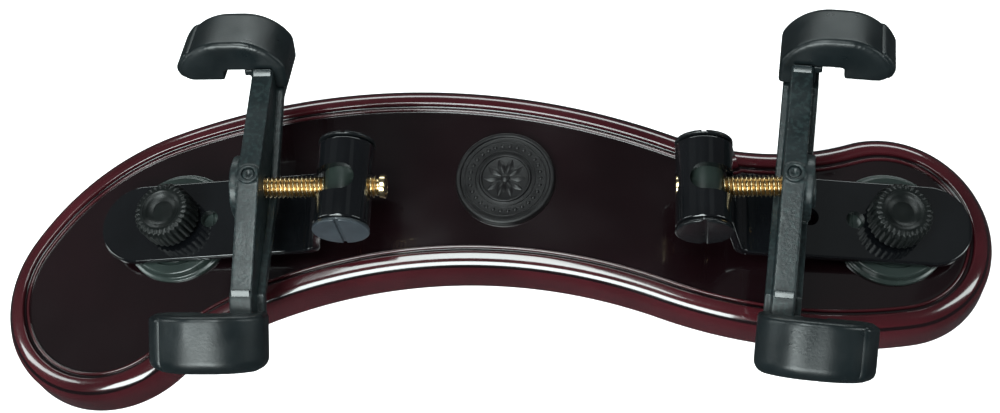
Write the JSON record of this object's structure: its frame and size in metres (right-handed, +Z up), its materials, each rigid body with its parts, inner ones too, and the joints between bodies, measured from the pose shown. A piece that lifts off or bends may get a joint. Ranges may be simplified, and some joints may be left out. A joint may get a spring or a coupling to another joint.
{
  "type": "violin shoulder rest",
  "caption": "Arched kidney-shaped violin shoulder rest with swivelling brackets, folding screw-height forks and rubber claws, folded for storage.",
  "frame": {"origin": "on the table under the middle of the shell, on the line between the two stem pivots", "axes": "+X along the shell to its narrow end, +Y across it to its convex edge, +Z up to the violin side"},
  "size_m": [0.2408, 0.0932, 0.0595],
  "materials": {
    "shell_lacquer": "glossy dark mahogany lacquer",
    "foam": "closed-cell foam",
    "medallion_grey": "satin moulded",
    "pedestal_plastic": "satin moulded",
    "brass": "machined",
    "bracket_black": "gloss black enamel",
    "steel": "machined",
    "knob_black": "satin moulded",
    "pivot_black": "black oxide",
    "fork_plastic": "fine texture",
    "rubber": "smooth moulded"
  },
  "bodies": {
    "shell": {"shell": "shell_lacquer", "shoulder_pad": "foam", "medallion": "medallion_grey", "left_pedestal": "pedestal_plastic", "left_insert": "brass", "right_pedestal": "pedestal_plastic", "right_insert": "brass"},
    "left_bracket": {"left_bracket": "bracket_black", "left_washer": "steel"},
    "left_knob": {"left_thumb_knob": "knob_black", "left_knob_stud": "steel", "left_knob_button": "knob_black"},
    "left_pivot": {"left_pivot_barrel": "pivot_black", "left_barrel_cap_front": "pivot_black", "left_barrel_cap_rear": "pivot_black"},
    "left_slider": {"left_stop_collar": "brass"},
    "left_fork": {"left_stem": "brass", "left_fork": "fork_plastic", "left_fork_pin": "fork_plastic", "left_hub_cap": "fork_plastic", "left_claw_cover_front": "rubber", "left_claw_cover_rear": "rubber", "left_grip_strip_front": "rubber", "left_grip_strip_rear": "rubber"},
    "right_bracket": {"right_bracket": "bracket_black", "right_washer": "steel"},
    "right_knob": {"right_thumb_knob": "knob_black", "right_knob_stud": "steel", "right_knob_button": "knob_black"},
    "right_pivot": {"right_pivot_barrel": "pivot_black", "right_barrel_cap_front": "pivot_black", "right_barrel_cap_rear": "pivot_black"},
    "right_slider": {"right_stop_collar": "brass"},
    "right_fork": {"right_stem": "brass", "right_fork": "fork_plastic", "right_fork_pin": "fork_plastic", "right_hub_cap": "fork_plastic", "right_claw_cover_front": "rubber", "right_claw_cover_rear": "rubber", "right_grip_strip_front": "rubber", "right_grip_strip_rear": "rubber"}
  },
  "joints": [
    {"name": "left_swivel", "type": "hinge", "parent": "shell", "child": "left_bracket", "pos_m": [-0.0755, 0, 0.02482], "axis": [-0.151, 0, 0.9885], "continuous": true},
    {"name": "left_knob_turn", "type": "hinge", "parent": "left_bracket", "child": "left_knob", "pos_m": [-0.0755, 0, 0.02482], "axis": [-0.151, 0, 0.9885], "continuous": true},
    {"name": "left_fold", "type": "hinge", "parent": "left_bracket", "child": "left_pivot", "pos_m": [-0.03076, 0, 0.04915], "axis": [0, 1, 0], "range_deg": [0, 90]},
    {"name": "left_height", "type": "slide", "parent": "left_pivot", "child": "left_slider", "axis": [-1, 0, 0], "range_m": [-0.006, 0.003]},
    {"name": "left_turn", "type": "hinge", "parent": "left_slider", "child": "left_fork", "pos_m": [-0.03076, 0, 0.04915], "axis": [-1, 0, 0], "range_deg": [-8, 8]},
    {"name": "right_swivel", "type": "hinge", "parent": "shell", "child": "right_bracket", "pos_m": [0.0953, 0, 0.02138], "axis": [0.1906, 0, 0.9817], "continuous": true},
    {"name": "right_knob_turn", "type": "hinge", "parent": "right_bracket", "child": "right_knob", "pos_m": [0.0953, 0, 0.02138], "axis": [0.1906, 0, 0.9817], "continuous": true},
    {"name": "right_fold", "type": "hinge", "parent": "right_bracket", "child": "right_pivot", "pos_m": [0.05158, 0, 0.0475], "axis": [0, -1, 0], "range_deg": [0, 90]},
    {"name": "right_height", "type": "slide", "parent": "right_pivot", "child": "right_slider", "axis": [1, 0, 0], "range_m": [-0.006, 0]},
    {"name": "right_turn", "type": "hinge", "parent": "right_slider", "child": "right_fork", "pos_m": [0.05158, 0, 0.0475], "axis": [1, 0, 0], "range_deg": [-8, 8]}
  ]
}
